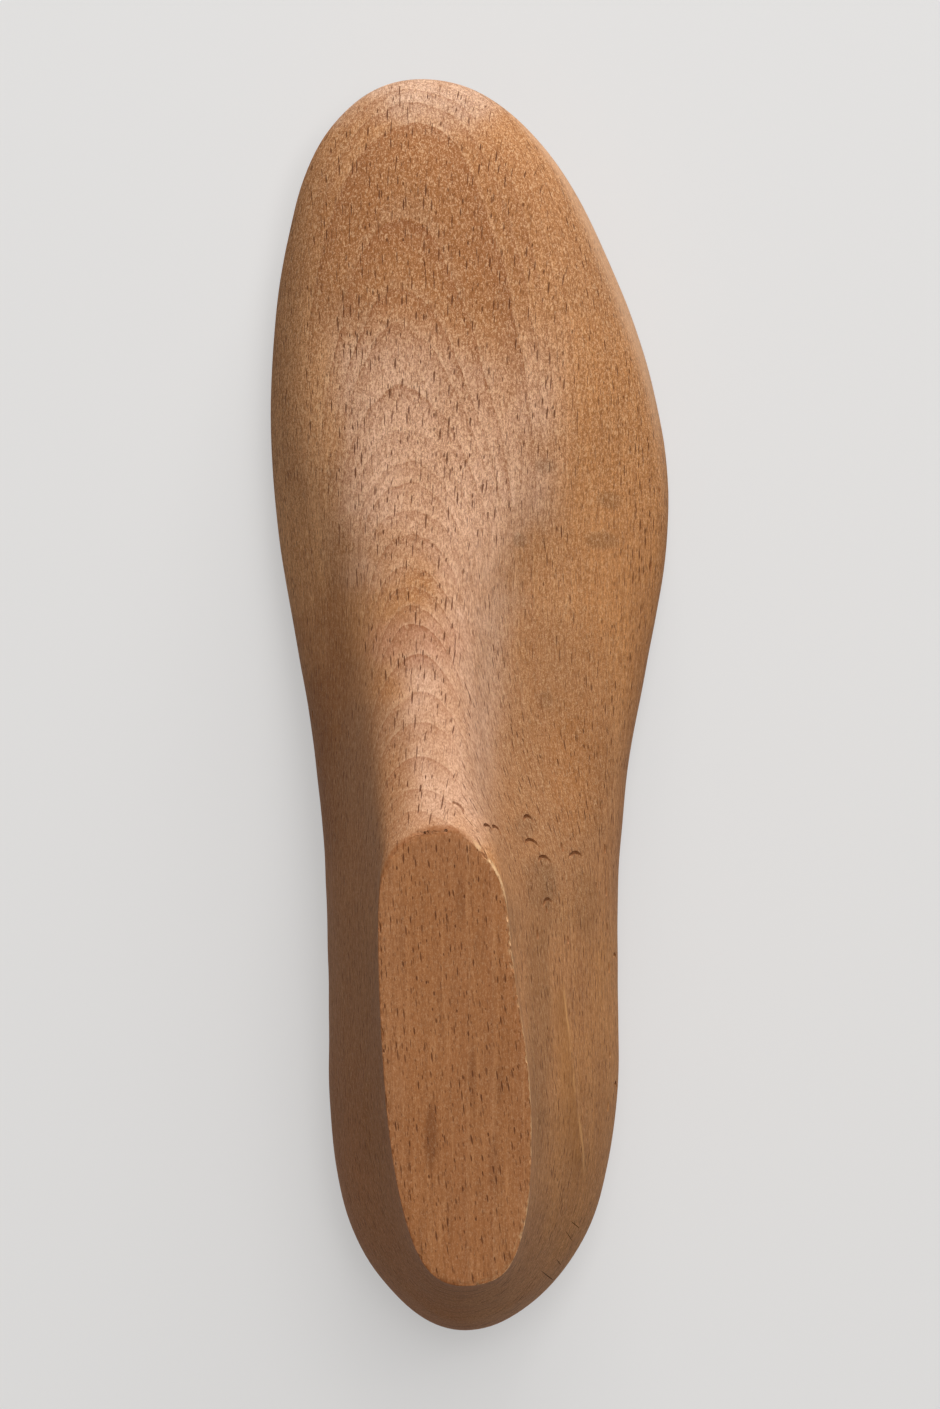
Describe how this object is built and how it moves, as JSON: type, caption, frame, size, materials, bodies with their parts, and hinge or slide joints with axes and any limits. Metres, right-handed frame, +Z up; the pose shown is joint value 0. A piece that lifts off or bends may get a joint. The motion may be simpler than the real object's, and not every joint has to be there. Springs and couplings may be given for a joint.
{
  "type": "shoe last",
  "caption": "Solid beech shoe last for a right foot, with a flat sawn top face, a sprung toe and a nailed steel plate let into the heel seat.",
  "frame": {"origin": "on the surface that the last stands on, under the middle of its bounding box", "axes": "+Y towards the toe, +X towards the outer side of the foot, +Z up, out of the flat top face"},
  "size_m": [0.0904, 0.28, 0.08],
  "materials": {
    "beech": "sanded satin, handled and slightly soiled",
    "plate_steel": "worn, dulled",
    "nail_steel": "worn, darkened"
  },
  "bodies": {
    "root": {"last_body": "beech", "heel_plate": "plate_steel", "heel_plate_nail_1": "nail_steel", "heel_plate_nail_2": "nail_steel", "heel_plate_nail_3": "nail_steel", "heel_plate_nail_4": "nail_steel", "heel_plate_nail_5": "nail_steel"}
  },
  "joints": []
}
